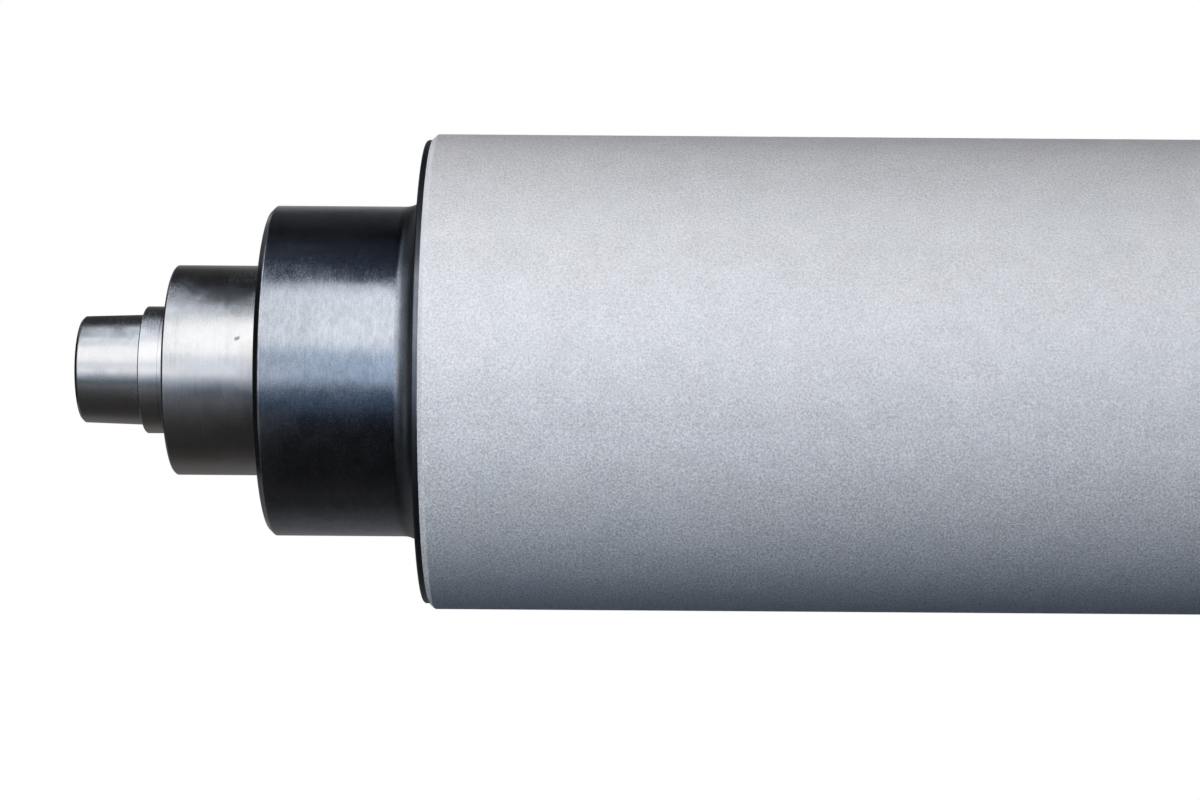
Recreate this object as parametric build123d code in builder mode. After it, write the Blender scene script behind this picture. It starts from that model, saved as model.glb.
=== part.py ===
from build123d import *
from math import cos, radians, sin, tan
import os

# Winding roller: a sprayed steel tube, a blackened head in each end, and a ground stub shaft in each head.
# The roller lies along X with its middle at the origin. All sizes are in millimetres.

# Sprayed roller body
face_length = 500.0
body_diameter = 158.0
tube_wall = 12.0
body_edge_chamfer = 1.7

# Counterbore in each end of the tube, which the head's spigot is pressed into
counterbore_step = 1.0
counterbore_mouth_chamfer = 0.6
spigot_end_clearance = 0.5

# Head: the rim stands against the tube's end, a little inside the foot of the tube's chamfer
rim_setback = 0.2
rim_width = 2.0
rim_edge_break = 0.5
spigot_length = 36.0
spigot_lead_chamfer = 1.5
hub_diameter = 110.0
hub_length = 51.3
hub_root_radius = 7.0
hub_root_flats = 3
hub_nose_chamfer = 1.8

# Stub shaft, from the hub outwards: bearing seat, collar with a relief groove, tapered end pin
bearing_seat_diameter = 70.0
bearing_seat_length = 32.0
bearing_seat_edge_break = 0.6
collar_diameter = 42.4
collar_length = 10.0
collar_edge_break = 0.3
collar_relief_width = 3.6
collar_relief_depth = 0.3
pin_root_diameter = 36.8
pin_end_diameter = 35.5
pin_length = 21.3
pin_end_chamfer = 0.9

# Shrink seat of the stub shaft in the head, with a grinding undercut beside its shoulder
shrink_shoulder = 2.5
shrink_end_setback = 2.0
shrink_lead_chamfer = 2.0
undercut_width = 3.0
undercut_depth = 0.4

# Threaded centre hole in the end pin: a 60 degree cone, then the drilled core of an M12 thread
centre_mouth_diameter = 18.1
centre_cone_angle = 60.0
centre_core_diameter = 10.2
centre_core_depth = 34.0
drill_point_angle = 118.0

# Radii that follow from the sizes above
body_radius = body_diameter / 2
tube_bore_radius = body_radius - tube_wall
spigot_radius = tube_bore_radius + counterbore_step
rim_radius = body_radius - body_edge_chamfer - rim_setback
hub_radius = hub_diameter / 2
bearing_seat_radius = bearing_seat_diameter / 2
shrink_radius = bearing_seat_radius - shrink_shoulder
collar_radius = collar_diameter / 2

# Places along an end, as distances outwards from the end of the tube
hub_face = rim_width + hub_length
seat_end = hub_face + bearing_seat_length
collar_end = seat_end + collar_length
pin_end = collar_end + pin_length
shrink_end = -spigot_length + shrink_end_setback

sides = {"left": -1, "right": 1}


# The page on which one end is drawn as half a section: distance outwards from the end of the tube
# across the page, and radius up it.
def section_page(outwards):
    return Plane(origin=(outwards * face_length / 2, 0, 0), x_dir=(outwards, 0, 0), z_dir=(0, -outwards, 0))


# The plane square to the roller at a distance outwards from the end of the tube, facing outwards.
def cross_plane(outwards, distance):
    return Plane(origin=(outwards * (face_length / 2 + distance), 0, 0), z_dir=(outwards, 0, 0))


# The turned edge of the piece in hand that has this radius and lies this far out from the tube's end.
def turned_edge(distance, radius):
    from_middle = face_length / 2 + distance
    return edges().filter_by(GeomType.CIRCLE).filter_by(
        lambda edge: abs(abs(edge.arc_center.X) - from_middle) < 0.01 and abs(edge.radius - radius) < 0.01
    )


# Steel tube with its counterbores, chamfered at the ends of the sprayed face.
def make_roller_shell():
    with BuildPart() as roller_shell:
        with BuildSketch(cross_plane(1, 0)):
            Circle(body_radius)
            Circle(tube_bore_radius, mode=Mode.SUBTRACT)
        extrude(amount=-face_length)
        for outwards in sides.values():
            with BuildSketch(cross_plane(outwards, 0)):
                Circle(spigot_radius)
            extrude(amount=-(spigot_length + spigot_end_clearance), mode=Mode.SUBTRACT)
        chamfer(turned_edge(0, body_radius), length=body_edge_chamfer)
        chamfer(turned_edge(0, spigot_radius), length=counterbore_mouth_chamfer)
    roller_shell.part.label = "roller_shell"
    return roller_shell.part


# Points along the root radius between the head's face and its hub, which is turned in a few short cones.
def hub_root():
    angles = [radians(90 * step / hub_root_flats) for step in range(hub_root_flats + 1)]
    return [
        (rim_width + hub_root_radius * (1 - cos(angle)), hub_radius + hub_root_radius * (1 - sin(angle)))
        for angle in angles
    ]


# Turned head: spigot in the tube, rim against its end, and the hub that carries the stub shaft.
def make_head(side, outwards):
    with BuildPart() as head:
        with BuildSketch(section_page(outwards)):
            with BuildLine():
                Polyline(
                    (-spigot_length, 0),
                    (-spigot_length, spigot_radius),
                    (0, spigot_radius),
                    (0, rim_radius),
                    (rim_width, rim_radius),
                    *hub_root(),
                    (hub_face, hub_radius),
                    (hub_face, 0),
                    close=True,
                )
            make_face()
        revolve(axis=Axis.X)
        chamfer(turned_edge(rim_width, rim_radius), length=rim_edge_break)
        chamfer(turned_edge(hub_face, hub_radius), length=hub_nose_chamfer)
        chamfer(turned_edge(-spigot_length, spigot_radius), length=spigot_lead_chamfer)
        with Locations(cross_plane(outwards, hub_face)):
            Hole(radius=shrink_radius, depth=hub_face + spigot_length)
    head.part.label = side + "_head"
    return head.part


# Ground stub shaft: every diameter from the shrink seat inside the head to the end pin.
def make_stub_shaft(side, outwards):
    cone_length = (centre_mouth_diameter - centre_core_diameter) / 2 / tan(radians(centre_cone_angle / 2))
    point_length = centre_core_diameter / 2 / tan(radians(drill_point_angle / 2))
    with BuildPart() as stub_shaft:
        with BuildSketch(section_page(outwards)):
            with BuildLine():
                Polyline(
                    (shrink_end, 0),
                    (shrink_end, shrink_radius),
                    (hub_face - undercut_width, shrink_radius),
                    (hub_face - undercut_width, shrink_radius - undercut_depth),
                    (hub_face, shrink_radius - undercut_depth),
                    (hub_face, bearing_seat_radius),
                    (seat_end, bearing_seat_radius),
                    (seat_end, collar_radius - collar_relief_depth),
                    (seat_end + collar_relief_width, collar_radius - collar_relief_depth),
                    (seat_end + collar_relief_width, collar_radius),
                    (collar_end, collar_radius),
                    (collar_end, pin_root_diameter / 2),
                    (pin_end, pin_end_diameter / 2),
                    (pin_end, 0),
                    close=True,
                )
            make_face()
        revolve(axis=Axis.X)
        chamfer(turned_edge(shrink_end, shrink_radius), length=shrink_lead_chamfer)
        chamfer(turned_edge(seat_end, bearing_seat_radius), length=bearing_seat_edge_break)
        chamfer(turned_edge(collar_end, collar_radius), length=collar_edge_break)
        chamfer(turned_edge(pin_end, pin_end_diameter / 2), length=pin_end_chamfer)
        with BuildSketch(section_page(outwards)):
            with BuildLine():
                Polyline(
                    (pin_end, 0),
                    (pin_end, centre_mouth_diameter / 2),
                    (pin_end - cone_length, centre_core_diameter / 2),
                    (pin_end - centre_core_depth, centre_core_diameter / 2),
                    (pin_end - centre_core_depth - point_length, 0),
                    close=True,
                )
            make_face()
        revolve(axis=Axis.X, mode=Mode.SUBTRACT)
    stub_shaft.part.label = side + "_stub_shaft"
    return stub_shaft.part


pieces = [make_roller_shell()]
for side, outwards in sides.items():
    pieces.append(make_head(side, outwards))
    pieces.append(make_stub_shaft(side, outwards))

os.makedirs("parts", exist_ok=True)
for piece in pieces:
    export_step(piece, "parts/" + piece.label + ".step")
    print(piece.label, round(piece.volume), "cubic millimetres")
print("overall length", 2 * (face_length / 2 + pin_end))
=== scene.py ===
import math
import bmesh
import bpy
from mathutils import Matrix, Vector


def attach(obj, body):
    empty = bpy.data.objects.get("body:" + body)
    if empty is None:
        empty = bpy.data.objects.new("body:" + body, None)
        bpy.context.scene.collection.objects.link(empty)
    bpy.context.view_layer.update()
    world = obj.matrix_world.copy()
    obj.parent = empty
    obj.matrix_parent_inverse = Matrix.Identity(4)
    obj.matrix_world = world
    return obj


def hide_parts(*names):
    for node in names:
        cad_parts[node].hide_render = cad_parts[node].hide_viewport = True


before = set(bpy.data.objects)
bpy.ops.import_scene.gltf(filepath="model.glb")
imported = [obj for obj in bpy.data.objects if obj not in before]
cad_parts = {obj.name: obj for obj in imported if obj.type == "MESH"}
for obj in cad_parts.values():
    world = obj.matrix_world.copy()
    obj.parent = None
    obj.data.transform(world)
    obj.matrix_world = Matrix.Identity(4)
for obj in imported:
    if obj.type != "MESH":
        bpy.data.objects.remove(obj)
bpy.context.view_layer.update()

# Winding roller. It lies along X with its middle at the origin. Sizes in the dictionaries are millimetres
# unless a note says otherwise, and everything in Blender is metres.
mm = 0.001
sides = {"left": -1, "right": 1}

drawing = {
    "support": 0.3,  # beyond each rounding, where the straight run beside it starts
    "clearRun": 2.4,  # a run shorter than this many times rounding and support gets no support
    "segments": 4,
    "largeSegments": 14,
    "largeFrom": 3.0,  # a rounding above this gets the large number of segments
    "sameSpot": 2e-6,  # metres
    "smoothUpTo": 32,  # degrees
}


def deselectAll():
    for thing in bpy.context.selected_objects:
        thing.select_set(False)
    bpy.context.view_layer.objects.active = None


# Selects the vertices of the piece in edit mode whose place passes the test.
def selectVertices(piece, test):
    mesh = bmesh.from_edit_mesh(piece.data)
    for vertex in mesh.verts:
        vertex.select = bool(test(vertex.co))
    mesh.select_flush_mode()
    bmesh.update_edit_mesh(piece.data)


# A new piece in edit mode that is one vertex at this place, ready to extrude.
def startPoint(name, place):
    deselectAll()
    bpy.ops.mesh.primitive_plane_add(size=0.01, location=(0, 0, 0))
    piece = bpy.context.object
    piece.name = piece.data.name = name
    bpy.ops.object.mode_set(mode="EDIT")
    bpy.ops.mesh.select_mode(type="VERT")
    bpy.ops.mesh.select_all(action="SELECT")
    bpy.ops.mesh.merge(type="CENTER")
    bpy.ops.transform.translate(value=place)
    return piece


# Draws half a section in the X-Z plane, one corner after another. A corner is (from the middle, radius, rounding).
def drawSection(name, side, corners, closed):
    places = [Vector((side * x, 0, r)) for x, r, rounding in corners]
    stops, rounded = [], []
    for i, (x, r, rounding) in enumerate(corners):
        here, before, after = places[i], places[i - 1], places[(i + 1) % len(places)]
        if not rounding or not (closed or 0 < i < len(places) - 1):
            stops.append(here)
            continue
        rounded.append((here, rounding))
        reach = rounding + drawing["support"]
        if (before - here).length > drawing["clearRun"] * reach:
            stops.append(here + (before - here).normalized() * reach)
        stops.append(here)
        if (after - here).length > drawing["clearRun"] * reach:
            stops.append(here + (after - here).normalized() * reach)
    piece = startPoint(name, stops[0] * mm)
    for last, stop in zip(stops, stops[1:]):
        bpy.ops.mesh.extrude_region_move(TRANSFORM_OT_translate={"value": (stop - last) * mm})
    if closed:
        ends = (stops[0] * mm, stops[-1] * mm)
        selectVertices(piece, lambda at: min((at - end).length for end in ends) < drawing["sameSpot"] / 2)
        bpy.ops.mesh.edge_face_add()
    for corner, rounding in rounded:
        selectVertices(piece, lambda at: (at - corner * mm).length < drawing["sameSpot"])
        segments = drawing["largeSegments" if rounding > drawing["largeFrom"] else "segments"]
        bpy.ops.mesh.bevel(offset=rounding * mm, segments=segments, profile=0.5, affect="VERTICES")
    return piece


# Turns what is drawn once about the roller's axis, closes the seam and points the faces out, or in.
def spinRound(steps, seam=drawing["sameSpot"], inside=False):
    bpy.ops.mesh.select_all(action="SELECT")
    bpy.ops.mesh.spin(steps=steps, angle=2 * math.pi, center=(0, 0, 0), axis=(1, 0, 0))
    bpy.ops.mesh.select_all(action="SELECT")
    bpy.ops.mesh.remove_doubles(threshold=seam)
    bpy.ops.mesh.normals_make_consistent(inside=inside)
    bpy.ops.object.mode_set(mode="OBJECT")


def finishPiece(piece, node, material):
    deselectAll()
    piece.select_set(True)
    bpy.context.view_layer.objects.active = piece
    bpy.ops.object.shade_smooth_by_angle(angle=math.radians(drawing["smoothUpTo"]))
    piece.data.materials.clear()
    piece.data.materials.append(material)
    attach(piece, "root")
    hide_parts(node)
    print(piece.name, "has", sum(len(p.vertices) - 2 for p in piece.data.polygons), "triangles")


shell = {
    "halfLength": 250.0,
    "radius": 79.0,
    "bore": 67.0,
    "counterbore": 68.0,
    "counterboreDepth": 36.5,
    "mouthChamfer": 0.6,
    "edgeChamfer": 1.7,
    "edgeRound": 0.35,
    "steps": 480,
    "ragged": 0.05,
    "raggedFrom": (0.2, 0.15),  # inside the foot of the chamfer, along the roller and across it
    "raggedSeed": 7,
}


# The steel tube with its counterbores, and its sprayed face chamfered at both ends.
def modelShell(coat):
    end, radius, counterbore = shell["halfLength"], shell["radius"], shell["counterbore"]
    depth, chamfer, mouth = shell["counterboreDepth"], shell["edgeChamfer"], shell["mouthChamfer"]
    half = [
        (end - depth, shell["bore"], 0),
        (end - depth, counterbore, 0),
        (end - mouth, counterbore, 0),
        (end, counterbore + mouth, 0),
        (end, radius - chamfer, shell["edgeRound"]),
        (end - chamfer, radius, shell["edgeRound"]),
    ]
    corners = [(-x, r, rounding) for x, r, rounding in half] + half[::-1]
    piece = drawSection("rollerShell", 1, corners, closed=True)
    spinRound(shell["steps"])
    # The spray leaves its edge a little uneven.
    fromEnd = (end - chamfer - shell["raggedFrom"][0]) * mm
    fromAxis = (radius - chamfer - shell["raggedFrom"][1]) * mm
    bpy.ops.object.mode_set(mode="EDIT")
    selectVertices(piece, lambda at: abs(at.x) > fromEnd and math.hypot(at.y, at.z) > fromAxis)
    bpy.ops.transform.vertex_random(offset=shell["ragged"] * mm, uniform=0, normal=1, seed=shell["raggedSeed"])
    bpy.ops.object.mode_set(mode="OBJECT")
    finishPiece(piece, "roller_shell", coat)


head = {
    "rimRadius": 77.1,
    "rimWidth": 2.0,
    "rimBreak": 0.5,
    "spigotRadius": 68.0,
    "spigotLength": 36.0,
    "spigotChamfer": 1.5,
    "hubRadius": 55.0,
    "hubLength": 51.3,
    "rootRadius": 7.0,
    "noseChamfer": 1.8,
    "bore": 32.5,
    "edgeRound": 0.22,
    "steps": 360,
}


# The turned head: spigot, rim, root radius and hub, bored for the stub shaft.
def modelHead(name, side, steel):
    end, rounding = shell["halfLength"], head["edgeRound"]
    rim, nose, chamfer = end + head["rimWidth"], head["noseChamfer"], head["spigotChamfer"]
    face = rim + head["hubLength"]
    inner = end - head["spigotLength"]
    corners = [
        (inner, head["bore"], 0),
        (inner, head["spigotRadius"] - chamfer, 0),
        (inner + chamfer, head["spigotRadius"], 0),
        (end, head["spigotRadius"], 0),
        (end, head["rimRadius"], 0),
        (rim - head["rimBreak"], head["rimRadius"], rounding),
        (rim, head["rimRadius"] - head["rimBreak"], rounding),
        (rim, head["hubRadius"], head["rootRadius"]),
        (face - nose, head["hubRadius"], rounding),
        (face, head["hubRadius"] - nose, rounding),
        (face, head["bore"], 0),
    ]
    piece = drawSection(name + "Head", side, corners, closed=True)
    spinRound(head["steps"])
    finishPiece(piece, name + "_head", steel)


stub = {
    "seatRadius": 35.0,
    "seatLength": 32.0,
    "seatBreak": 0.6,
    "collarRadius": 21.2,
    "collarLength": 10.0,
    "collarBreak": 0.3,
    "reliefWidth": 3.6,
    "reliefDepth": 0.3,
    "pinRoot": 18.4,
    "pinEnd": 17.75,
    "pinLength": 21.3,
    "pinChamfer": 0.9,
    "shrinkRadius": 32.5,
    "shrinkSetback": 2.0,
    "shrinkChamfer": 2.0,
    "undercutWidth": 3.0,
    "undercutDepth": 0.4,
    "centreMouth": 9.05,
    "centreCore": 5.1,
    "centreCone": 30,  # degrees from the axis
    "coreDepth": 34.0,
    "drillPoint": 59,  # degrees from the axis
    "threadRoot": 6.0,
    "threadPitch": 1.75,
    "threadTurns": 13,
    "threadCrest": 0.22,
    "threadValley": 0.11,
    "edgeRound": 0.16,
    "steps": 288,
}


# Corners of the thread in the centre hole, from the cone inwards.
def threadCorners(start):
    pitch, core, root = stub["threadPitch"], stub["centreCore"], stub["threadRoot"]
    crest, valley = stub["threadCrest"], stub["threadValley"]
    corners = []
    for turn in range(stub["threadTurns"]):
        at = start - turn * pitch
        corners += [(at - crest, core, 0), (at - pitch / 2, root, 0)]
        corners += [(at - pitch / 2 - valley, root, 0), (at - pitch + valley, core, 0)]
    return corners


nick = {
    "side": -1,
    "fromMiddle": 311.1,
    "height": 16.5,  # degrees above the middle of the camera's side
    "length": 1.0,
    "slope": 36.0,  # degrees, rising towards the hub
    "depth": 0.15,
    "reach": 0.5,
    "lineHalfWidth": 0.16,
    "fineHalfWidth": 2.3,  # of the patch of finer faces round it
    "onSeat": 0.05,  # how near the seat's radius its faces lie
    "rings": 3,  # cut round the seat there, on either side
    "ringGap": 0.8,
    "cuts": 7,
}


# A small knock on the bearing seat: a fine patch of faces there, pushed in along a short slanting line.
def dentSeat(piece, side):
    radius, rings, gap = stub["seatRadius"] * mm, nick["rings"], nick["ringGap"] * mm
    angle, slope = math.radians(nick["height"]), math.radians(nick["slope"])
    middle = Vector((side * nick["fromMiddle"] * mm, -radius * math.cos(angle), radius * math.sin(angle)))
    bpy.ops.object.mode_set(mode="EDIT")
    for step in range(-rings, rings + 1):
        bpy.ops.mesh.select_all(action="SELECT")
        bpy.ops.mesh.bisect(plane_co=middle + Vector((step * gap, 0, 0)), plane_no=(1, 0, 0))
    bpy.ops.mesh.select_mode(type="FACE")
    mesh = bmesh.from_edit_mesh(piece.data)
    for face in mesh.faces:
        at = face.calc_center_median()
        near = (at - middle).length < nick["fineHalfWidth"] * mm and abs(at.x - middle.x) < rings * gap
        face.select = near and abs(math.hypot(at.y, at.z) - radius) < nick["onSeat"] * mm
    bmesh.update_edit_mesh(piece.data)
    bpy.ops.mesh.subdivide(number_cuts=nick["cuts"])
    bpy.ops.mesh.select_mode(type="VERT")
    # The new vertices lie on flat faces, so they are set out to the seat's radius.
    mesh = bmesh.from_edit_mesh(piece.data)
    for vertex in mesh.verts:
        if vertex.select:
            across = math.hypot(vertex.co.y, vertex.co.z)
            vertex.co.y *= radius / across
            vertex.co.z *= radius / across
    bmesh.update_edit_mesh(piece.data)
    half = nick["length"] * mm / 2
    along = Vector((math.cos(slope), math.sin(angle) * math.sin(slope), math.cos(angle) * math.sin(slope)))

    def onLine(at):
        way = max(-1.0, min(1.0, (at - middle).dot(along) / half))
        return (at - middle - along * way * half).length < nick["lineHalfWidth"] * mm

    selectVertices(piece, onLine)
    bpy.ops.transform.translate(
        value=Vector((0, -middle.y, -middle.z)).normalized() * nick["depth"] * mm,
        use_proportional_edit=True,
        proportional_edit_falloff="SMOOTH",
        proportional_size=nick["reach"] * mm,
        use_proportional_connected=True,
    )
    bpy.ops.object.mode_set(mode="OBJECT")


# The ground stub shaft, from the middle of its inner end round to the bottom of its centre hole.
def modelStubShaft(name, side, steel):
    end, rounding = shell["halfLength"], stub["edgeRound"]
    seat, collar, shrink, core = stub["seatRadius"], stub["collarRadius"], stub["shrinkRadius"], stub["centreCore"]
    hubFace = end + head["rimWidth"] + head["hubLength"]
    inner = end - head["spigotLength"] + stub["shrinkSetback"]
    seatEnd = hubFace + stub["seatLength"]
    reliefEnd = seatEnd + stub["reliefWidth"]
    collarEnd = seatEnd + stub["collarLength"]
    tip = collarEnd + stub["pinLength"]
    coneEnd = tip - (stub["centreMouth"] - core) / math.tan(math.radians(stub["centreCone"]))
    holeEnd = tip - stub["coreDepth"]
    corners = [
        (inner, 0, 0),
        (inner, shrink - stub["shrinkChamfer"], 0),
        (inner + stub["shrinkChamfer"], shrink, 0),
        (hubFace - stub["undercutWidth"], shrink, 0),
        (hubFace - stub["undercutWidth"], shrink - stub["undercutDepth"], 0),
        (hubFace, shrink - stub["undercutDepth"], 0),
        (hubFace, seat, 0),
        (seatEnd - stub["seatBreak"], seat, rounding),
        (seatEnd, seat - stub["seatBreak"], rounding),
        (seatEnd, collar - stub["reliefDepth"], 0),
        (reliefEnd, collar - stub["reliefDepth"], 0),
        (reliefEnd, collar, 0),
        (collarEnd - stub["collarBreak"], collar, rounding / 2),
        (collarEnd, collar - stub["collarBreak"], rounding / 2),
        (collarEnd, stub["pinRoot"], 0),
        (tip - stub["pinChamfer"], stub["pinEnd"], rounding),
        (tip, stub["pinEnd"] - stub["pinChamfer"], rounding),
        (tip, stub["centreMouth"], rounding),
        (coneEnd, core, 0),
        *threadCorners(coneEnd),
        (holeEnd, core, 0),
        (holeEnd - core / math.tan(math.radians(stub["drillPoint"])), 0, 0),
    ]
    piece = drawSection(name + "StubShaft", side, corners, closed=False)
    spinRound(stub["steps"])
    if side == nick["side"]:
        dentSeat(piece, side)
    finishPiece(piece, name + "_stub_shaft", steel)


# Node helpers: a value may be a number or another node's output.
def feed(tree, socket, value):
    if isinstance(value, bpy.types.NodeSocket):
        tree.links.new(value, socket)
    elif value is not None:
        socket.default_value = value


def compute(tree, operation, a, b=None, c=None):
    node = tree.nodes.new("ShaderNodeMath")
    node.operation = operation
    for socket, value in zip(node.inputs, (a, b, c)):
        feed(tree, socket, value)
    return node.outputs[0]


def multiply(tree, value, *others):
    for other in others:
        value = compute(tree, "MULTIPLY", value, other)
    return value


# A start value plus the other values, each times its weight.
def weigh(tree, total, *parts):
    for value, weight in parts:
        total = compute(tree, "MULTIPLY_ADD", value, weight, total)
    return total


def computeVector(tree, operation, a, b=None, result="Vector"):
    node = tree.nodes.new("ShaderNodeVectorMath")
    node.operation = operation
    for socket, value in zip(node.inputs, (a, b)):
        feed(tree, socket, value)
    return node.outputs[result]


def ease(tree, value, low, high, toLow=0.0, toHigh=1.0, smooth=True):
    node = tree.nodes.new("ShaderNodeMapRange")
    node.interpolation_type = "SMOOTHSTEP" if smooth else "LINEAR"
    for name, given in zip(("Value", "From Min", "From Max", "To Min", "To Max"), (value, low, high, toLow, toHigh)):
        feed(tree, node.inputs[name], given)
    return node.outputs["Result"]


# The same over a span in millimetres.
def easeOver(tree, value, span, toLow=0.0, toHigh=1.0):
    return ease(tree, value, span[0] * mm, span[1] * mm, toLow, toHigh)


def noise(tree, vector, scale, detail, rough, w=None):
    node = tree.nodes.new("ShaderNodeTexNoise")
    node.noise_dimensions = "3D" if w is None else "4D"
    for name, given in {"Vector": vector, "Scale": scale, "Detail": detail, "Roughness": rough}.items():
        feed(tree, node.inputs[name], given)
    if w is not None:
        feed(tree, node.inputs["W"], w)
    return node.outputs["Fac"]


def mixColours(tree, share, first, second, blend="MIX"):
    node = tree.nodes.new("ShaderNodeMix")
    node.data_type = "RGBA"
    node.blend_type = blend
    feed(tree, node.inputs["Factor"], share)
    for socket, value in zip((node.inputs[6], node.inputs[7]), (first, second)):
        feed(tree, socket, value if isinstance(value, bpy.types.NodeSocket) else (*value, 1.0))
    return node.outputs[2]


# Lays colours over one another. A layer is (mask, strength, colour).
def layColours(tree, colour, *layers):
    for mask, strength, over in layers:
        colour = mixColours(tree, multiply(tree, mask, strength), colour, over)
    return colour


def objectPlace(tree):
    return tree.nodes.new("ShaderNodeTexCoord").outputs["Object"]


def splitPlace(tree):
    split = tree.nodes.new("ShaderNodeSeparateXYZ")
    feed(tree, split.inputs[0], objectPlace(tree))
    return split.outputs


def joinPlace(tree, x=None, y=None, z=None):
    join = tree.nodes.new("ShaderNodeCombineXYZ")
    for socket, value in zip(join.inputs, (x, y, z)):
        feed(tree, socket, value)
    return join.outputs[0]


# Starts a shader node group with these inputs (and their defaults) and these number outputs.
def startGroup(name, inputs, outputs):
    tree = bpy.data.node_groups.new(name, "ShaderNodeTree")
    for label, default in inputs.items():
        kind = "NodeSocketVector" if isinstance(default, tuple) else "NodeSocketFloat"
        socket = tree.interface.new_socket(name=label, in_out="INPUT", socket_type=kind)
        socket.default_value = default
    for label in outputs:
        tree.interface.new_socket(name=label, in_out="OUTPUT", socket_type="NodeSocketFloat")
    given = tree.nodes.new("NodeGroupInput")
    handed = tree.nodes.new("NodeGroupOutput")
    return tree, given.outputs, handed.inputs


def placeGroup(tree, group, **values):
    node = tree.nodes.new("ShaderNodeGroup")
    node.node_tree = group
    for socket in node.inputs:
        key = socket.name[0].lower() + socket.name[1:].replace(" ", "")
        if key in values:
            feed(tree, socket, values[key])
    return node.outputs


# Where a point lies on a turned piece: its distance from the roller's middle along the axis, and its radius.
def makeTurnedPlace():
    tree, _, handed = startGroup("turnedPlace", {}, ["From Middle", "Radius"])
    split = splitPlace(tree)
    across = joinPlace(tree, y=split["Y"], z=split["Z"])
    feed(tree, handed["From Middle"], compute(tree, "ABSOLUTE", split["X"]))
    feed(tree, handed["Radius"], computeVector(tree, "LENGTH", across, result="Value"))
    return tree


# Fine marks left by turning and grinding: narrow along the piece, long round it.
def makeTurningLines(turnedPlace):
    tree, given, handed = startGroup("turningLines", {"Density": 1500.0, "Slow": 40.0}, ["Lines"])
    stretch = joinPlace(tree, given["Density"], given["Slow"], given["Slow"])
    stretched = computeVector(tree, "MULTIPLY", objectPlace(tree), stretch)
    rings = multiply(tree, placeGroup(tree, turnedPlace)["Radius"], given["Density"])
    feed(tree, handed["Lines"], noise(tree, stretched, scale=1.0, detail=4.0, rough=0.6, w=rings))
    return tree


# Height of turned steel in millimetres: its fine lines on a slight waviness.
def makeTurnedHeight():
    inputs = {"Lines": 0.5, "Scale": 60.0, "Seed": 0.0, "Depth": 0.2, "Line Depth": 0.006}
    tree, given, handed = startGroup("turnedHeight", inputs, ["Height"])
    waves = noise(tree, objectPlace(tree), given["Scale"], detail=1.5, rough=0.5, w=given["Seed"])
    lines = multiply(tree, given["Lines"], given["Line Depth"])
    feed(tree, handed["Height"], weigh(tree, lines, (waves, given["Depth"])))
    return tree


# Soft uneven blotches, from a noise cut between two levels.
def makeSmudges():
    inputs = {"Scale": 60.0, "Seed": 0.0, "Low": 0.45, "High": 0.65, "Stretch": (1.0, 1.0, 1.0)}
    tree, given, handed = startGroup("smudges", inputs, ["Mask"])
    stretched = computeVector(tree, "MULTIPLY", objectPlace(tree), given["Stretch"])
    value = noise(tree, stretched, given["Scale"], detail=4.0, rough=0.6, w=given["Seed"])
    feed(tree, handed["Mask"], ease(tree, value, given["Low"], given["High"]))
    return tree


# A worn line along one turned edge, partly a painted highlight where the edge catches light, at a place from the
# middle and a radius, broken up by noise.
def makeWornEdgeGlint(turnedPlace):
    inputs = {"Edge Place": 0.3, "Edge Radius": 0.05, "Width": 0.0004, "Broken": 0.5}
    tree, given, handed = startGroup("wornEdge", inputs, ["Mask"])
    turned = placeGroup(tree, turnedPlace)
    pastEdge = compute(tree, "SUBTRACT", turned["From Middle"], given["Edge Place"])
    overEdge = compute(tree, "SUBTRACT", turned["Radius"], given["Edge Radius"])
    away = computeVector(tree, "LENGTH", joinPlace(tree, pastEdge, overEdge), result="Value")
    line = ease(tree, compute(tree, "DIVIDE", away, given["Width"]), low=0.4, high=1.0, toLow=1.0, toHigh=0.0)
    patchy = ease(tree, noise(tree, objectPlace(tree), scale=260.0, detail=3.0, rough=0.6), low=0.35, high=0.6)
    kept = weigh(tree, 1.0, (compute(tree, "SUBTRACT", patchy, 1.0), given["Broken"]))
    feed(tree, handed["Mask"], multiply(tree, line, kept))
    return tree


# A soft-edged uneven patch round one place on a piece.
def makePatch():
    inputs = {"Place": (0.0, 0.0, 0.0), "Size": (0.01, 0.01, 0.01), "Wobble": 0.8, "Wobble Scale": 300.0}
    tree, given, handed = startGroup("patch", inputs, ["Mask"])
    place = objectPlace(tree)
    away = computeVector(tree, "DIVIDE", computeVector(tree, "SUBTRACT", place, given["Place"]), given["Size"])
    distance = computeVector(tree, "LENGTH", away, result="Value")
    uneven = compute(tree, "SUBTRACT", noise(tree, place, given["Wobble Scale"], detail=4.0, rough=0.6), 0.5)
    ragged = weigh(tree, distance, (uneven, given["Wobble"]))
    feed(tree, handed["Mask"], ease(tree, ragged, low=0.4, high=1.05, toLow=1.0, toHigh=0.0))
    return tree


# Fine grain: speckle for the tone and the roughness, and height for a bump.
def makeGrain():
    tree, given, handed = startGroup("grain", {"Scale": 1300.0, "Seed": 0.0}, ["Speckle", "Height"])
    fine = noise(tree, objectPlace(tree), given["Scale"], detail=2.0, rough=0.6, w=given["Seed"])
    feed(tree, handed["Speckle"], ease(tree, fine, low=0.3, high=0.7, smooth=False))
    feed(tree, handed["Height"], fine)
    return tree


turnedPlace = makeTurnedPlace()
turningLines = makeTurningLines(turnedPlace)
turnedHeight = makeTurnedHeight()
smudges = makeSmudges()
wornEdge = makeWornEdgeGlint(turnedPlace)
patch = makePatch()
grain = makeGrain()
print("node groups made")


def startMaterial(name):
    material = bpy.data.materials.new(name)
    material.use_nodes = True
    tree = material.node_tree
    return material, tree, tree.nodes["Principled BSDF"]


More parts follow.
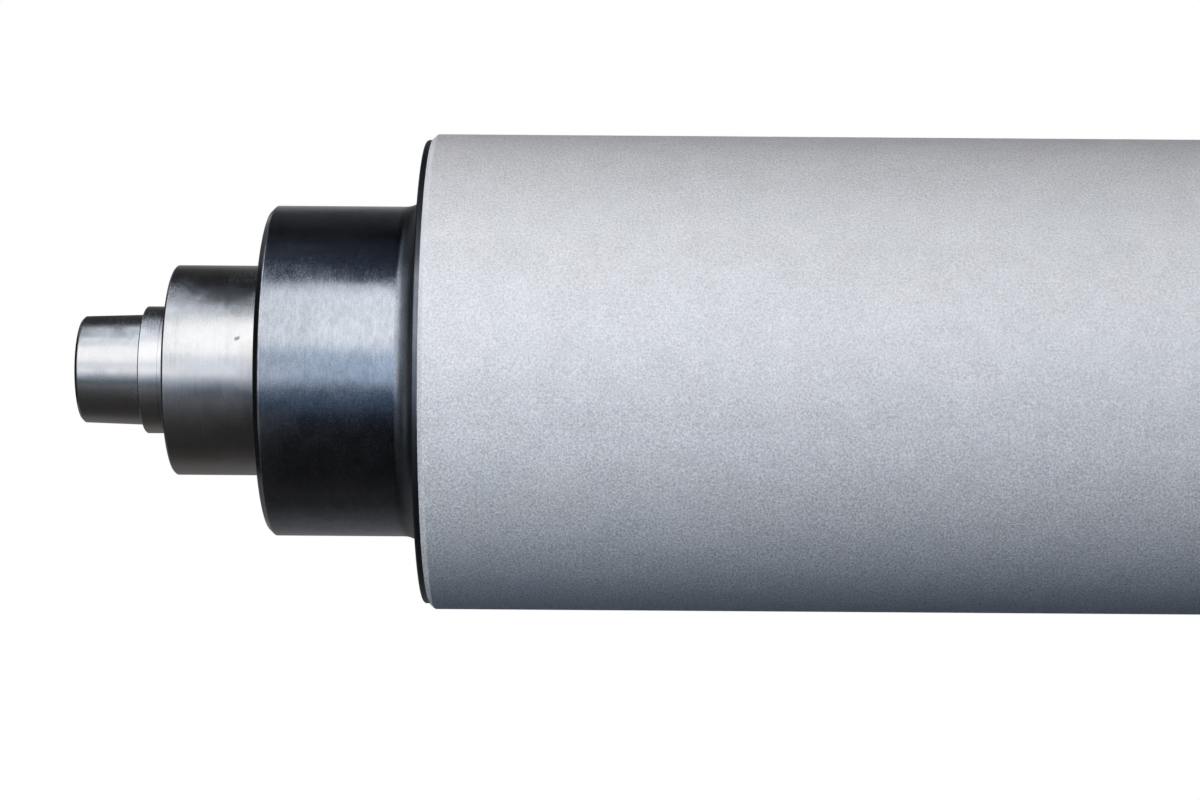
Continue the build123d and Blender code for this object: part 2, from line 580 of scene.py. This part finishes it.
def addBump(tree, shader, height, strength, distance):
    node = tree.nodes.new("ShaderNodeBump")
    node.inputs["Strength"].default_value = strength
    node.inputs["Distance"].default_value = distance
    feed(tree, node.inputs["Height"], height)
    feed(tree, shader.inputs["Normal"], node.outputs["Normal"])


coating = {
    "dark": (0.345, 0.343, 0.357),
    "pale": (0.912, 0.902, 0.938),
    "tint": (0.975, 0.995, 1.0),
    "tintPattern": {"scale": 55.0, "low": 0.3, "high": 0.7, "seed": 13.0},
    "tone": 0.46,  # between dark and pale
    "clouds": 0.08,
    "cloudPattern": {"scale": 90.0, "low": 0.3, "high": 0.7, "seed": 3.0},
    "speckle": 0.75,
    "grainScale": 1650.0,
    "contrast": 0.53,  # of the speckle where light falls on it
    "lowContrast": 1.35,  # and on the underside, where it shows more
    "lowSpan": (-55.0, 20.0),
    "topContrast": 0.3,  # added at the top
    "topSpan": (45.0, 75.0),
    "soil": 0.22,  # darker on the lower part of the end chamfer
    "soilFrom": (248.0, 248.8),
    "soilBelow": (-30.0, 30.0),
    "roughness": (0.68, 0.55),  # in the dark specks and in the pale ones
    "metallic": 0.2,
    "bump": 0.5,
    "bumpHeight": 0.4,
}


def makeSprayedCoating():
    material, tree, shader = startMaterial("sprayedCoating")
    grains = placeGroup(tree, grain, scale=coating["grainScale"])
    clouds = placeGroup(tree, smudges, **coating["cloudPattern"])["Mask"]
    tinted = placeGroup(tree, smudges, **coating["tintPattern"])["Mask"]
    height = splitPlace(tree)["Z"]
    contrast = easeOver(tree, height, coating["lowSpan"], coating["lowContrast"], coating["contrast"])
    added = easeOver(tree, height, coating["topSpan"], 0.0, coating["topContrast"])
    contrast = compute(tree, "ADD", contrast, added)
    speckle = multiply(tree, compute(tree, "SUBTRACT", grains["Speckle"], 0.5), coating["speckle"])
    # Darker on the lower part of the end chamfer.
    chamferDarkened = multiply(
        tree,
        easeOver(tree, placeGroup(tree, turnedPlace)["From Middle"], coating["soilFrom"]),
        easeOver(tree, height, coating["soilBelow"], 1.0, 0.0),
    )
    parts = ((clouds, coating["clouds"]), (speckle, contrast), (chamferDarkened, -coating["soil"]))
    colour = mixColours(tree, weigh(tree, coating["tone"], *parts), coating["dark"], coating["pale"])
    feed(tree, shader.inputs["Base Color"], mixColours(tree, tinted, colour, coating["tint"], "MULTIPLY"))
    feed(tree, shader.inputs["Roughness"], ease(tree, grains["Speckle"], 0, 1, *coating["roughness"]))
    shader.inputs["Metallic"].default_value = coating["metallic"]
    addBump(tree, shader, grains["Height"], coating["bump"], coating["bumpHeight"] * mm)
    return material


blackened = {
    "dark": (0.15, 0.164, 0.182),
    "pale": (0.33, 0.353, 0.38),
    "worn": (0.50, 0.50, 0.51),
    "wornShare": 0.8,
    "wornWidth": 0.5,
    "wornBroken": 0.75,
    "linePattern": {"density": 2300.0, "slow": 420.0},
    "lineLevels": (0.36, 0.64),
    "specklePattern": {"scale": 2100.0, "seed": 5.0},
    "blotchPattern": {"scale": 75.0, "low": 0.35, "high": 0.68, "seed": 5.0},
    "mottlePattern": {"scale": 420.0, "low": 0.3, "high": 0.7, "seed": 8.0, "stretch": (1.0, 0.6, 0.6)},
    "speckPattern": {"scale": 900.0, "low": 0.69, "high": 0.74, "seed": 2.0},
    "lines": 0.22,  # shares of each pattern in the tone
    "blotches": 0.15,
    "mottle": 0.24,
    "speckle": 0.45,
    "specks": 0.7,
    "rootShade": (0.05, 0.055, 0.06),  # painted shade in the root radius and on the rim, above and below
    "rootEnd": (258.8, 260.2),
    "shadeAbove": (28.0, 36.0),
    "shadeBelow": (-20.0, -7.0),
    "shadeShares": (0.7, 0.35),
    "rimShade": (0.025, 0.03, 0.04),
    "rimShare": 0.55,
    "rimFrom": (73.5, 75.0),
    "rimFace": (248.5, 249.5),
    "roughness": (0.16, 0.19),  # where the lines and the speckle are faint, and where they are strong
    "roughLevels": (0.35, 0.65),
    "roughBlotches": 0.05,
    "roughSpeckle": 0.056,
    "speckleLevels": (0.6, 0.9),
    "rootRoughness": 0.32,
    "rootRough": (257.5, 259.5),
    "rimRoughness": 0.42,
    "waves": {"scale": 60.0, "seed": 4.0, "depth": 0.26},
}


def makeBlackenedSteel():
    material, tree, shader = startMaterial("blackenedSteel")
    lines = placeGroup(tree, turningLines, **blackened["linePattern"])["Lines"]
    speckle = placeGroup(tree, grain, **blackened["specklePattern"])["Speckle"]
    blotches = placeGroup(tree, smudges, **blackened["blotchPattern"])["Mask"]
    mottle = placeGroup(tree, smudges, **blackened["mottlePattern"])["Mask"]
    specks = placeGroup(tree, smudges, **blackened["speckPattern"])["Mask"]
    turned = placeGroup(tree, turnedPlace)
    fromMiddle, height = turned["From Middle"], splitPlace(tree)["Z"]
    tone = weigh(
        tree,
        multiply(tree, ease(tree, lines, *blackened["lineLevels"]), blackened["lines"]),
        (blotches, blackened["blotches"]),
        (mottle, blackened["mottle"]),
        (speckle, blackened["speckle"]),
    )
    # Painted shade: the root radius and the rim darker towards the top and the bottom.
    aboveShare, belowShare = blackened["shadeShares"]
    shaded = compute(
        tree,
        "ADD",
        easeOver(tree, height, blackened["shadeAbove"], 0.0, aboveShare),
        easeOver(tree, height, blackened["shadeBelow"], belowShare, 0.0),
    )
    root = easeOver(tree, fromMiddle, blackened["rootEnd"], 1.0, 0.0)
    rim = multiply(
        tree, easeOver(tree, turned["Radius"], blackened["rimFrom"]), easeOver(tree, fromMiddle, blackened["rimFace"])
    )
    nose = shell["halfLength"] + head["rimWidth"] + head["hubLength"] - head["noseChamfer"]
    # The hub's nose edge: worn, and partly a painted highlight where it catches light.
    edge = placeGroup(
        tree,
        wornEdge,
        edgePlace=nose * mm,
        edgeRadius=head["hubRadius"] * mm,
        width=blackened["wornWidth"] * mm,
        broken=blackened["wornBroken"],
    )["Mask"]
    colour = layColours(
        tree,
        mixColours(tree, tone, blackened["dark"], blackened["pale"]),
        (root, shaded, blackened["rootShade"]),
        (specks, blackened["specks"], blackened["dark"]),
        (rim, blackened["rimShare"], blackened["rimShade"]),
        (edge, blackened["wornShare"], blackened["worn"]),
    )
    feed(tree, shader.inputs["Base Color"], colour)
    scratched = weigh(tree, multiply(tree, lines, 0.5), (speckle, 0.5))  # the mean of both
    rough = weigh(
        tree,
        ease(tree, scratched, *blackened["roughLevels"], *blackened["roughness"]),
        (compute(tree, "SUBTRACT", blotches, 0.5), blackened["roughBlotches"]),
        (ease(tree, speckle, *blackened["speckleLevels"]), blackened["roughSpeckle"]),
    )
    rough = easeOver(tree, fromMiddle, blackened["rootRough"], blackened["rootRoughness"], rough)
    feed(tree, shader.inputs["Roughness"], ease(tree, rim, 0, 1, rough, blackened["rimRoughness"]))
    shader.inputs["Metallic"].default_value = 1.0
    waves = placeGroup(tree, turnedHeight, lines=lines, **blackened["waves"])["Height"]
    addBump(tree, shader, waves, strength=1.0, distance=mm)
    return material


ground = {
    "dark": (0.425, 0.42, 0.41),
    "pale": (0.52, 0.515, 0.505),
    "linePattern": {"density": 2600.0, "slow": 45.0},
    "lineLevels": (0.3, 0.7),
    "strokeLevels": (0.42, 0.6),  # of the lines, for the brushed patch
    "specklePattern": {"scale": 2100.0, "seed": 7.0},
    "bandPattern": {"scale": 150.0, "low": 0.3, "high": 0.7, "seed": 1.0, "stretch": (1.0, 0.06, 0.06)},
    "blotchPattern": {"scale": 110.0, "low": 0.35, "high": 0.68, "seed": 9.0},
    "mottlePattern": {"scale": 620.0, "low": 0.3, "high": 0.7, "seed": 6.0, "stretch": (1.0, 0.7, 0.7)},
    "lines": 0.3,  # shares of each pattern in the tone
    "blotches": 0.25,
    "bands": 0.1,
    "mottle": 0.2,
    "speckle": 0.15,
    "collar": (0.61, 0.605, 0.595),  # ground finer than the rest
    "collarShare": 0.4,
    "collarFrom": (19.5, 20.5),
    "collarTo": (21.5, 22.5),
    "roughness": (0.19, 0.27),  # between the blotches, and on them
    "roughLines": 0.16,
    "roughSpeckle": 0.05,
    "roughBrushed": 0.06,
    "roughScuff": 0.3,
    "waves": {"scale": 75.0, "seed": 12.0, "depth": 0.16},
}

# Among the marks below, shade is painted shade, a dark patch high on the pin.
# Marks on the shaft end that the photograph shows: distance from the roller's middle, what they are on, degrees above
# the camera's side, half sizes, how uneven their edge is and how fine.
marksAndShade = {
    # a darker patch high on the seat
    "dulled": (315.5, "seatRadius", 50, (11.0, 11.0, 8.5), 1.6, 140.0),
    # painted shade: a dark patch high on the pin
    "shade": (350.5, "pinRoot", 42, (5.5, 6.0, 4.2), 1.4, 260.0),
    "brushed": (307.0, "seatRadius", 4, (5.2, 12.0, 11.5), 1.4, 240.0),
    "stain": (311.8, "seatRadius", 32, (2.6, 3.0, 2.3), 1.8, 700.0),
    "scuff": (346.6, "pinRoot", -26, (1.2, 4.0, 3.6), 1.6, 900.0),
    "knock": (nick["fromMiddle"], "seatRadius", nick["height"], (0.8, 0.7, 0.6), 0.5, 1800.0),
}

markColours = {
    "dulled": (0.26, 0.262, 0.26),
    "brushed": (0.44, 0.40, 0.36),
    "stain": (0.33, 0.275, 0.235),
    "scuff": (0.62, 0.61, 0.60),
    "knock": (0.17, 0.16, 0.15),
}

markAndShadeShares = {"dulled": 0.8, "shade": 0.3, "brushed": 0.75, "stain": 0.35, "scuff": 0.8, "knock": 0.75}


def makeSpotMask(tree, name):
    fromMiddle, on, height, size, wobble, fineness = marksAndShade[name]
    radius, angle = stub[on], math.radians(height)
    place = Vector((nick["side"] * fromMiddle, -radius * math.cos(angle), radius * math.sin(angle))) * mm
    return placeGroup(tree, patch, place=place, size=Vector(size) * mm, wobble=wobble, wobbleScale=fineness)["Mask"]


def makeGroundSteel():
    material, tree, shader = startMaterial("groundSteel")
    lines = placeGroup(tree, turningLines, **ground["linePattern"])["Lines"]
    speckle = placeGroup(tree, grain, **ground["specklePattern"])["Speckle"]
    bands = placeGroup(tree, smudges, **ground["bandPattern"])["Mask"]
    blotches = placeGroup(tree, smudges, **ground["blotchPattern"])["Mask"]
    mottle = placeGroup(tree, smudges, **ground["mottlePattern"])["Mask"]
    tone = weigh(
        tree,
        multiply(tree, ease(tree, lines, *ground["lineLevels"]), ground["lines"]),
        (blotches, ground["blotches"]),
        (bands, ground["bands"]),
        (mottle, ground["mottle"]),
        (speckle, ground["speckle"]),
    )
    radius = placeGroup(tree, turnedPlace)["Radius"]
    collar = multiply(
        tree, easeOver(tree, radius, ground["collarFrom"]), easeOver(tree, radius, ground["collarTo"], 1.0, 0.0)
    )
    masks = {name: makeSpotMask(tree, name) for name in marksAndShade}
    # A darker patch high on the seat, and painted shade high on the pin, laid as one.
    dulled, shade = (multiply(tree, masks[name], markAndShadeShares[name]) for name in ("dulled", "shade"))
    dulled = compute(tree, "MAXIMUM", dulled, shade)
    strokes = multiply(tree, masks["brushed"], ease(tree, lines, *ground["strokeLevels"]))
    scuffed = multiply(tree, masks["scuff"], lines)
    colour = layColours(
        tree,
        mixColours(tree, tone, ground["dark"], ground["pale"]),
        (collar, ground["collarShare"], ground["collar"]),
        (dulled, 1.0, markColours["dulled"]),
        (strokes, markAndShadeShares["brushed"], markColours["brushed"]),
        (masks["stain"], markAndShadeShares["stain"], markColours["stain"]),
        (scuffed, markAndShadeShares["scuff"], markColours["scuff"]),
        (masks["knock"], markAndShadeShares["knock"], markColours["knock"]),
    )
    feed(tree, shader.inputs["Base Color"], colour)
    rough = weigh(
        tree,
        ease(tree, blotches, 0, 1, *ground["roughness"]),
        (compute(tree, "SUBTRACT", lines, 0.5), ground["roughLines"]),
        (compute(tree, "SUBTRACT", speckle, 0.5), ground["roughSpeckle"]),
        (masks["brushed"], ground["roughBrushed"]),
        (scuffed, ground["roughScuff"]),
    )
    feed(tree, shader.inputs["Roughness"], rough)
    shader.inputs["Metallic"].default_value = 1.0
    waves = placeGroup(tree, turnedHeight, lines=lines, **ground["waves"])["Height"]
    addBump(tree, shader, waves, strength=1.0, distance=mm)
    return material


sprayedCoating = makeSprayedCoating()
blackenedSteel = makeBlackenedSteel()
groundSteel = makeGroundSteel()
print("materials made")

modelShell(sprayedCoating)
for name, side in sides.items():
    modelHead(name, side, blackenedSteel)
    modelStubShaft(name, side, groundSteel)
print("pieces modelled")


# A bare material for the stage, with its output node.
def startStageMaterial(name):
    material = bpy.data.materials.new(name)
    material.use_nodes = True
    tree = material.node_tree
    tree.nodes.clear()
    return material, tree, tree.nodes.new("ShaderNodeOutputMaterial").inputs[0]


# 1 for the rays that see the background as it is, 0 for those that light the object with it.
def seenDirectly(tree):
    path = tree.nodes.new("ShaderNodeLightPath").outputs
    mirrored = compute(tree, "MAXIMUM", path["Is Glossy Ray"], path["Is Transmission Ray"])
    return compute(tree, "MAXIMUM", path["Is Camera Ray"], mirrored)


def mixShaders(tree, share, first, second):
    mixed = tree.nodes.new("ShaderNodeMixShader")
    for socket, value in zip(mixed.inputs, (share, first, second)):
        feed(tree, socket, value)
    return mixed.outputs[0]


floor = {
    "height": -0.30,  # metres, as are the other sizes of the stage
    "size": 14.0,
    "colour": (0.85, 0.85, 0.86),
    "whiteFrom": 0.55,  # from here on it turns into the white background
    "whiteAt": 1.0,
}


def makeFloor():
    deselectAll()
    bpy.ops.mesh.primitive_plane_add(size=floor["size"], location=(0, 0, floor["height"]))
    plane = bpy.context.object
    plane.name = "floor"
    material, tree, result = startStageMaterial("paleFloor")
    lit = tree.nodes.new("ShaderNodeBsdfDiffuse")
    lit.inputs["Color"].default_value = (*floor["colour"], 1)
    white = tree.nodes.new("ShaderNodeEmission")
    away = computeVector(tree, "LENGTH", objectPlace(tree), result="Value")
    share = multiply(tree, seenDirectly(tree), ease(tree, away, floor["whiteFrom"], floor["whiteAt"]))
    feed(tree, result, mixShaders(tree, share, lit.outputs[0], white.outputs[0]))
    plane.data.materials.append(material)
    # The steel sees the tent instead, and the roller's underside stays in shade.
    plane.visible_glossy = plane.visible_diffuse = False


# Makes a reflector glow. Only polished surfaces see the two: a tent round the roller and a flag past its left end.
def finishReflector(piece, cloth, colour, strength):
    material, tree, result = cloth
    glow = tree.nodes.new("ShaderNodeEmission")
    feed(tree, glow.inputs["Color"], colour)
    feed(tree, glow.inputs["Strength"], strength)
    feed(tree, result, glow.outputs[0])
    piece.data.materials.append(material)
    for ray in ("camera", "diffuse", "transmission", "volume_scatter", "shadow"):
        setattr(piece, "visible_" + ray, False)


# What the stub shaft sees of the tent: (degrees, colour). 0 is level towards the camera, 90 is straight up.
shaftLight = [
    (-180, (0.24, 0.235, 0.235)),
    (-150, (0.2, 0.195, 0.19)),
    (-128, (0.175, 0.165, 0.165)),
    (-110, (0.078, 0.072, 0.068)),
    (-90, (0.047, 0.044, 0.045)),
    (-62, (0.07, 0.067, 0.07)),
    (-44, (0.145, 0.145, 0.16)),
    (-30, (0.28, 0.29, 0.32)),
    (-22, (0.145, 0.165, 0.19)),
    (-12, (0.83, 0.94, 1.12)),
    (-3, (1.92, 1.88, 1.95)),
    (11, (1.3, 1.37, 1.52)),
    (19, (1.75, 1.8, 1.9)),
    (46, (1.72, 1.8, 1.9)),
    (55, (0.76, 0.81, 0.92)),
    (67, (2.08, 2.26, 2.55)),
    (76, (0.085, 0.1, 0.13)),
    (86, (0.018, 0.022, 0.032)),
    (104, (0.023, 0.025, 0.03)),
    (125, (0.038, 0.037, 0.038)),
    (134, (0.055, 0.054, 0.054)),
    (145, (0.115, 0.115, 0.115)),
    (157, (0.28, 0.28, 0.28)),
    (180, (0.36, 0.36, 0.36)),
]

# What the hub and the body see of it.
hubLight = [
    (-180, (0.22, 0.22, 0.225)),
    (-150, (0.2, 0.2, 0.205)),
    (-128, (0.155, 0.153, 0.163)),
    (-104, (0.058, 0.056, 0.058)),
    (-74, (0.024, 0.023, 0.024)),
    (-42, (0.011, 0.013, 0.016)),
    (-30, (0.028, 0.039, 0.059)),
    (-20, (0.127, 0.2, 0.34)),
    (-13, (0.12, 0.178, 0.28)),
    (-5, (1.15, 1.36, 1.69)),
    (10, (1.25, 1.48, 1.82)),
    (19, (2.82, 2.79, 2.82)),
    (52, (2.7, 2.67, 2.7)),
    (58.5, (1.94, 2.06, 2.23)),
    (61.8, (0.059, 0.086, 0.135)),
    (86, (0.033, 0.044, 0.063)),
    (104, (0.01, 0.01, 0.014)),
    (140, (0.1, 0.098, 0.103)),
    (150, (0.24, 0.235, 0.25)),
    (165, (0.42, 0.42, 0.43)),
    (180, (0.36, 0.36, 0.37)),
]

# What the root radius between hub and rim sees, at the tent's left end.
rootLight = [
    (-180, (0.2, 0.2, 0.21)),
    (-60, (0.05, 0.05, 0.055)),
    (-30, (0.05, 0.055, 0.065)),
    (-12, (0.1, 0.11, 0.13)),
    (0, (0.22, 0.235, 0.27)),
    (15, (0.44, 0.46, 0.5)),
    (50, (0.42, 0.44, 0.48)),
    (62, (0.2, 0.205, 0.22)),
    (75, (0.24, 0.25, 0.27)),
    (90, (0.24, 0.255, 0.285)),
    (115, (0.16, 0.17, 0.19)),
    (140, (0.12, 0.12, 0.13)),
    (180, (0.2, 0.2, 0.2)),
]

tent = {
    "radius": 1.15,  # metres, as are the places along it
    "halfLength": 1.7,
    "steps": 90,
    "seam": 0.001,
    # From the left, the tent shows the light for the root radius, the hub, the shaft, the hub and the shaft.
    "rootTo": (-0.84, -0.79),
    "hubTo": (-0.74, -0.70),
    "hubFrom": (-0.47, -0.445),
    "hubUpTo": (0.3, 0.45),
    "hubShift": ((53, 62), 0.024),  # above these degrees hubFrom lies this much further left
    # The softbox flares towards the pin's end of it, above and below.
    "flareTop": (32, -0.44, (-0.59, -0.53), (-0.655, -0.61)),
    "flareBottom": (-30, -0.13, (-0.57, -0.53)),
    # Strength along it.
    "shaftStrength": (1.06, 0.82, (-0.555, -0.52)),
    "hubGain": (0.18, (-0.47, -0.45)),
    "farStrength": (0.5, (-0.34, 0.8)),
    # What the pin sees is stronger or weaker by these, each over some degrees.
    "pinGains": [((50, 68), 0.0, 0.6), ((88, 104), 0.0, 0.35), ((10, 24), -0.1, 0.0)],
    "pinTo": (-0.552, -0.535),
    "pinFrom": (-0.65, -0.6),
}


# Colours round the tent, from straight behind, under the roller, past the camera and over the top.
def lightRamp(tree, stops, place):
    ramp = tree.nodes.new("ShaderNodeValToRGB")
    feed(tree, ramp.inputs[0], place)
    points = ramp.color_ramp.elements
    points[0].color, points[1].color = (*stops[0][1], 1), (*stops[-1][1], 1)
    for degrees, colour in stops[1:-1]:
        points.new((degrees + 180) / 360).color = (*colour, 1)
    return ramp.outputs[0]


def easeDegrees(tree, angle, span, toLow=0.0, toHigh=1.0):
    return ease(tree, angle, math.radians(span[0]), math.radians(span[1]), toLow, toHigh)


# How far round the tent a point lies for the ramps, from 0 to 1, with the softbox flared.
def flareTent(tree, angle, along):
    start, turn, span, end = tent["flareTop"]
    above = compute(tree, "MAXIMUM", compute(tree, "SUBTRACT", angle, math.radians(start)), 0.0)
    flare = multiply(tree, ease(tree, along, *span, turn, 0.0, smooth=False), ease(tree, along, *end))
    lowest, lowTurn, lowSpan = tent["flareBottom"]
    below = compute(tree, "MAXIMUM", compute(tree, "MINIMUM", angle, 0.0), math.radians(lowest))
    flared = weigh(tree, angle, (above, flare), (below, ease(tree, along, *lowSpan, lowTurn, 0.0)))
    return ease(tree, flared, -math.pi, math.pi, smooth=False)


def mixTentColours(tree, angle, along, place):
    shiftAngles, shift = tent["hubShift"]
    shifted = compute(tree, "ADD", along, easeDegrees(tree, angle, shiftAngles, 0.0, shift))
    middle = multiply(tree, ease(tree, shifted, *tent["hubFrom"]), ease(tree, along, *tent["hubUpTo"], 1.0, 0.0))
    share = compute(tree, "MAXIMUM", middle, ease(tree, along, *tent["hubTo"], 1.0, 0.0))
    colour = mixColours(tree, share, lightRamp(tree, shaftLight, place), lightRamp(tree, hubLight, place))
    rootShare = ease(tree, along, *tent["rootTo"], 1.0, 0.0)
    return mixColours(tree, rootShare, colour, lightRamp(tree, rootLight, place))


def dimTent(tree, angle, along):
    pinStrength, seatStrength, span = tent["shaftStrength"]
    gain, gainSpan = tent["hubGain"]
    strength = ease(tree, along, *span, pinStrength, seatStrength)
    strength = compute(tree, "ADD", strength, ease(tree, along, *gainSpan, 0.0, gain))
    pinGain = 0.0
    for degrees, toLow, toHigh in tent["pinGains"]:
        pinGain = compute(tree, "ADD", pinGain, easeDegrees(tree, angle, degrees, toLow, toHigh))
    overPin = multiply(tree, pinGain, ease(tree, along, *tent["pinTo"], 1.0, 0.0), ease(tree, along, *tent["pinFrom"]))
    farStrength, farSpan = tent["farStrength"]
    fading = ease(tree, along, *farSpan, 1.0, farStrength, smooth=False)
    return multiply(tree, compute(tree, "ADD", strength, overPin), fading)


def makeTent():
    length, radius = tent["halfLength"], tent["radius"]
    piece = startPoint("reflectionTent", (-length, radius, 0))
    bpy.ops.mesh.extrude_region_move(TRANSFORM_OT_translate={"value": (2 * length, 0, 0)})
    spinRound(tent["steps"], tent["seam"], inside=True)
    cloth = startStageMaterial("tentCloth")
    tree = cloth[1]
    split = splitPlace(tree)
    along, front = split["X"], multiply(tree, split["Y"], -1.0)
    angle = compute(tree, "ARCTAN2", split["Z"], front)
    colour = mixTentColours(tree, angle, along, flareTent(tree, angle, along))
    finishReflector(piece, cloth, colour, dimTent(tree, angle, along))


flag = {
    "place": -1.69,  # metres
    "size": 2.4,
    "colour": (0.85, 0.92, 1.0),
    "least": 0.02,
    "near": (0.8, (-0.35, -0.12)),  # strength on the camera's side, and where it ends
    "lower": (0.08, (-0.25, 0.5)),  # share of it low down, and where it rises
    "upper": (0.3, (0.42, 0.85)),  # and high up, where it falls
}


# A dark flag past the roller's left end keeps the edges that face it dark, and its near part lights the root radius.
def makeFlag():
    deselectAll()
    place, turn = (flag["place"], 0, 0), (0, math.pi / 2, 0)
    bpy.ops.mesh.primitive_plane_add(size=flag["size"], location=place, rotation=turn)
    piece = bpy.context.object
    piece.name = "leftFlag"
    cloth = startStageMaterial("flagCloth")
    tree = cloth[1]
    split = splitPlace(tree)
    strength, nearSpan = flag["near"]
    lower, lowerSpan = flag["lower"]
    upper, upperSpan = flag["upper"]
    near = multiply(
        tree,
        ease(tree, split["Y"], *nearSpan, strength, 0.0),
        ease(tree, split["Z"], *lowerSpan, lower, 1.0),
        ease(tree, split["Z"], *upperSpan, 1.0, upper),
    )
    finishReflector(piece, cloth, (*flag["colour"], 1), compute(tree, "ADD", near, flag["least"]))


# Area lights, which no reflection shows: (place, aimed at, width and height, watts, colour).
lamps = {
    "keySoftbox": ((-1.05, -1.3, 0.66), (-0.2, 0, 0), (1.3, 0.8), 32.9, (1.0, 0.97, 0.93)),
    "lowFrontPanel": ((-1.2, -1.5, -0.38), (-0.24, 0, 0), (1.2, 0.5), 31.0, (0.58, 0.8, 1.0)),
    "rearPanel": ((0.5, 1.5, 0.30), (0, 0, 0), (1.4, 0.8), 25.0, (0.5, 0.75, 1.0)),
}


def makeLamps():
    for name, (place, target, size, watts, colour) in lamps.items():
        deselectAll()
        bpy.ops.object.light_add(type="AREA", location=place)
        lamp = bpy.context.object
        lamp.name = name
        lamp.rotation_euler = (Vector(target) - Vector(place)).to_track_quat("-Z", "Y").to_euler()
        lamp.data.shape = "RECTANGLE"
        lamp.data.size, lamp.data.size_y = size
        lamp.data.energy = watts
        lamp.data.color = colour
        lamp.visible_camera = lamp.visible_glossy = False


studio = {
    "ambient": ((0.3, 0.6, 1.0), 0.03),  # colour and strength
    "background": ((1.0, 1.0, 1.0), 1.0),
}


def makeWorld():
    world = bpy.data.worlds.new("studio")
    bpy.context.scene.world = world
    world.use_nodes = True
    tree = world.node_tree
    tree.nodes.clear()
    shaders = []
    for colour, strength in studio.values():
        background = tree.nodes.new("ShaderNodeBackground")
        background.inputs["Color"].default_value = (*colour, 1)
        background.inputs["Strength"].default_value = strength
        shaders.append(background.outputs[0])
    result = tree.nodes.new("ShaderNodeOutputWorld").inputs[0]
    feed(tree, result, mixShaders(tree, seenDirectly(tree), *shaders))


camera = {
    "place": (-0.1943, -0.845, -0.0090),  # metres
    "roll": 0.42,  # degrees
    "lens": 75.85,
    "sensor": 36.0,
    "clip": (0.01, 60.0),  # metres
}


def makeCamera():
    deselectAll()
    bpy.ops.object.camera_add(location=camera["place"], rotation=(math.pi / 2, -math.radians(camera["roll"]), 0))
    made = bpy.context.object
    made.name = "photoCamera"
    made.data.lens = camera["lens"]
    made.data.sensor_width = camera["sensor"]
    made.data.clip_start, made.data.clip_end = camera["clip"]
    bpy.context.scene.camera = made


makeFloor()
makeTent()
makeFlag()
makeLamps()
makeWorld()
makeCamera()
bpy.context.scene.view_settings.view_transform = "Standard"
print("stage, lights and camera made")
